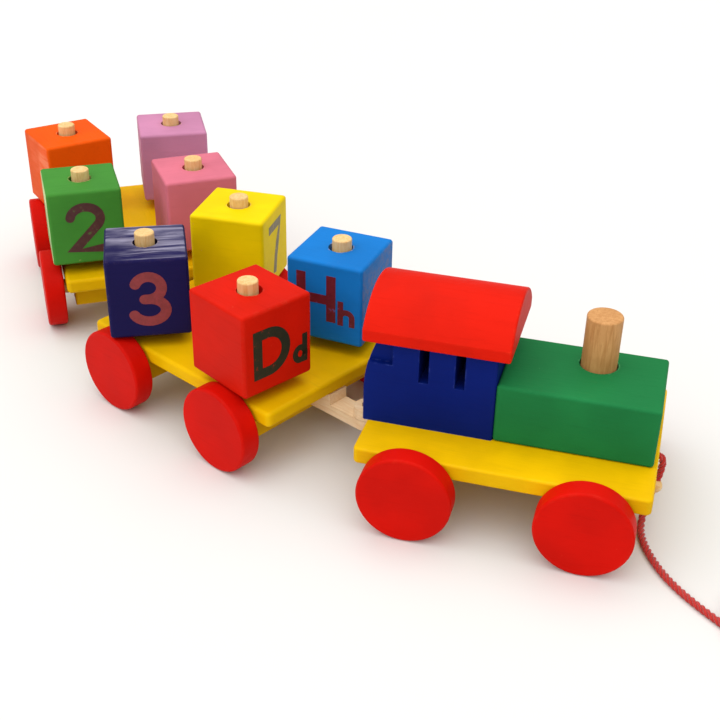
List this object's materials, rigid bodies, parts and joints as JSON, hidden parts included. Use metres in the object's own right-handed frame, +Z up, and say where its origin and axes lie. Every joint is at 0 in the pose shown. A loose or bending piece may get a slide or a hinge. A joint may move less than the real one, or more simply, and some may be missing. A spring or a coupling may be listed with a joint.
{
  "type": "pull-along toy train",
  "caption": "Wooden pull-along toy train: a locomotive with cab and chimney, hinged wagons that carry pegged blocks, and a pull cord.",
  "frame": {"origin": "on the floor, under the middle of the plan outline of the train without its cord", "axes": "+X ahead of the locomotive, +Y to its left, +Z up; the wagons trail in a bend to the left"},
  "size_m": [0.3776, 0.2308, 0.074],
  "materials": {
    "bare_wood": "bare turned wood",
    "blue_paint": "brushed satin paint over wood",
    "boiler_green": "brushed satin paint over wood",
    "cab_blue": "brushed satin paint over wood",
    "deck_yellow": "brushed satin paint over wood",
    "green_paint": "brushed satin paint over wood",
    "lilac_paint": "brushed satin paint over wood",
    "navy_paint": "brushed satin paint over wood",
    "orange_paint": "brushed satin paint over wood",
    "pink_paint": "brushed satin paint over wood",
    "red_cord": "twisted cord",
    "red_paint": "brushed satin paint over wood",
    "roof_red": "brushed satin paint over wood",
    "steel": "plain wire nails",
    "wheel_red": "brushed satin paint over wood",
    "yellow_paint": "brushed satin paint over wood"
  },
  "bodies": {
    "loco": {"loco_deck": "deck_yellow", "loco_front_bolster": "deck_yellow", "loco_rear_bolster": "deck_yellow", "boiler": "boiler_green", "cab": "cab_blue", "cab_roof": "roof_red", "link_1": "bare_wood", "link_1_nails": "steel", "coupling_pin_1": "steel", "pull_cord": "red_cord", "cord_coil": "red_cord", "cord_stop_bead": "bare_wood", "pull_bead": "bare_wood"},
    "loco_front_wheels": {"loco_front_axle": "bare_wood", "loco_front_left_wheel": "wheel_red", "loco_front_right_wheel": "wheel_red"},
    "loco_rear_wheels": {"loco_rear_axle": "bare_wood", "loco_rear_left_wheel": "wheel_red", "loco_rear_right_wheel": "wheel_red"},
    "wagon_1": {"wagon_1_deck": "deck_yellow", "wagon_1_front_bolster": "deck_yellow", "wagon_1_rear_bolster": "deck_yellow", "wagon_1_tab": "bare_wood", "link_2": "bare_wood", "link_2_nails": "steel", "coupling_pin_2": "steel"},
    "wagon_1_front_wheels": {"wagon_1_front_axle": "bare_wood", "wagon_1_front_left_wheel": "wheel_red", "wagon_1_front_right_wheel": "wheel_red"},
    "wagon_1_rear_wheels": {"wagon_1_rear_axle": "bare_wood", "wagon_1_rear_left_wheel": "wheel_red", "wagon_1_rear_right_wheel": "wheel_red"},
    "red_peg": {"red_peg": "bare_wood"},
    "red_block": {"red_block": "red_paint"},
    "blue_peg": {"blue_peg": "bare_wood"},
    "blue_block": {"blue_block": "blue_paint"},
    "yellow_peg": {"yellow_peg": "bare_wood"},
    "yellow_block": {"yellow_block": "yellow_paint"},
    "navy_peg": {"navy_peg": "bare_wood"},
    "navy_block": {"navy_block": "navy_paint"},
    "wagon_2": {"wagon_2_deck": "deck_yellow", "wagon_2_front_bolster": "deck_yellow", "wagon_2_rear_bolster": "deck_yellow", "wagon_2_tab": "bare_wood"},
    "wagon_2_front_wheels": {"wagon_2_front_axle": "bare_wood", "wagon_2_front_left_wheel": "wheel_red", "wagon_2_front_right_wheel": "wheel_red"},
    "wagon_2_rear_wheels": {"wagon_2_rear_axle": "bare_wood", "wagon_2_rear_left_wheel": "wheel_red", "wagon_2_rear_right_wheel": "wheel_red"},
    "green_peg": {"green_peg": "bare_wood"},
    "green_block": {"green_block": "green_paint"},
    "pink_peg": {"pink_peg": "bare_wood"},
    "pink_block": {"pink_block": "pink_paint"},
    "orange_peg": {"orange_peg": "bare_wood"},
    "orange_block": {"orange_block": "orange_paint"},
    "lilac_peg": {"lilac_peg": "bare_wood"},
    "lilac_block": {"lilac_block": "lilac_paint"},
    "chimney": {"chimney": "bare_wood"}
  },
  "joints": [
    {"name": "loco_front_roll", "type": "hinge", "parent": "loco", "child": "loco_front_wheels", "pos_m": [0.1313, -0.06023, 0.016], "axis": [0, 1, 0], "continuous": true},
    {"name": "loco_rear_roll", "type": "hinge", "parent": "loco", "child": "loco_rear_wheels", "pos_m": [0.0733, -0.06023, 0.016], "axis": [0, 1, 0], "continuous": true},
    {"name": "coupling_1", "type": "hinge", "parent": "loco", "child": "wagon_1", "pos_m": [0.0488, -0.06023, 0.0174], "axis": [0, 0, 1], "range_deg": [-4.8, 57.2]},
    {"name": "wagon_1_front_roll", "type": "hinge", "parent": "wagon_1", "child": "wagon_1_front_wheels", "pos_m": [0.01892, -0.04553, 0.016], "axis": [0.4415, 0.8973, 0], "continuous": true},
    {"name": "wagon_1_rear_roll", "type": "hinge", "parent": "wagon_1", "child": "wagon_1_rear_wheels", "pos_m": [-0.03312, -0.01993, 0.016], "axis": [0.4415, 0.8973, 0], "continuous": true},
    {"name": "red_block_turn", "type": "hinge", "parent": "wagon_1", "child": "red_peg", "pos_m": [0.00747, -0.06609, 0.0274], "axis": [0, 0, 1], "continuous": true},
    {"name": "red_block_lift", "type": "slide", "parent": "red_peg", "child": "red_block", "axis": [0, 0, 1], "range_m": [0, 0.045]},
    {"name": "blue_block_turn", "type": "hinge", "parent": "wagon_1", "child": "blue_peg", "pos_m": [0.02822, -0.02392, 0.0274], "axis": [0, 0, 1], "continuous": true},
    {"name": "blue_block_lift", "type": "slide", "parent": "blue_peg", "child": "blue_block", "axis": [0, 0, 1], "range_m": [0, 0.045]},
    {"name": "yellow_block_turn", "type": "hinge", "parent": "wagon_1", "child": "yellow_peg", "pos_m": [-0.02167, 0.00063, 0.0274], "axis": [0, 0, 1], "continuous": true},
    {"name": "yellow_block_lift", "type": "slide", "parent": "yellow_peg", "child": "yellow_block", "axis": [0, 0, 1], "range_m": [0, 0.045]},
    {"name": "navy_block_turn", "type": "hinge", "parent": "wagon_1", "child": "navy_peg", "pos_m": [-0.04242, -0.04154, 0.0274], "axis": [0, 0, 1], "continuous": true},
    {"name": "navy_block_lift", "type": "slide", "parent": "navy_peg", "child": "navy_block", "axis": [0, 0, 1], "range_m": [0, 0.045]},
    {"name": "coupling_2", "type": "hinge", "parent": "wagon_1", "child": "wagon_2", "pos_m": [-0.0551, -0.00911, 0.0174], "axis": [0, 0, 1], "range_deg": [-1, 61]},
    {"name": "wagon_2_front_roll", "type": "hinge", "parent": "wagon_2", "child": "wagon_2_front_wheels", "pos_m": [-0.07363, 0.01856, 0.016], "axis": [0.831, 0.5563, 0], "continuous": true},
    {"name": "wagon_2_rear_roll", "type": "hinge", "parent": "wagon_2", "child": "wagon_2_rear_wheels", "pos_m": [-0.10589, 0.06676, 0.016], "axis": [0.831, 0.5563, 0], "continuous": true},
    {"name": "green_block_turn", "type": "hinge", "parent": "wagon_2", "child": "green_peg", "pos_m": [-0.09382, 0.00649, 0.0274], "axis": [0, 0, 1], "continuous": true},
    {"name": "green_block_lift", "type": "slide", "parent": "green_peg", "child": "green_block", "axis": [0, 0, 1], "range_m": [0, 0.045]},
    {"name": "pink_block_turn", "type": "hinge", "parent": "wagon_2", "child": "pink_peg", "pos_m": [-0.05477, 0.03263, 0.0274], "axis": [0, 0, 1], "continuous": true},
    {"name": "pink_block_lift", "type": "slide", "parent": "pink_peg", "child": "pink_block", "axis": [0, 0, 1], "range_m": [0, 0.045]},
    {"name": "orange_block_turn", "type": "hinge", "parent": "wagon_2", "child": "orange_peg", "pos_m": [-0.12475, 0.05269, 0.0274], "axis": [0, 0, 1], "continuous": true},
    {"name": "orange_block_lift", "type": "slide", "parent": "orange_peg", "child": "orange_block", "axis": [0, 0, 1], "range_m": [0, 0.045]},
    {"name": "lilac_block_turn", "type": "hinge", "parent": "wagon_2", "child": "lilac_peg", "pos_m": [-0.0857, 0.07884, 0.0274], "axis": [0, 0, 1], "continuous": true},
    {"name": "lilac_block_lift", "type": "slide", "parent": "lilac_peg", "child": "lilac_block", "axis": [0, 0, 1], "range_m": [0, 0.045]},
    {"name": "chimney_lift", "type": "slide", "parent": "loco", "child": "chimney", "axis": [0, 0, 1], "range_m": [0, 0.03]}
  ]
}
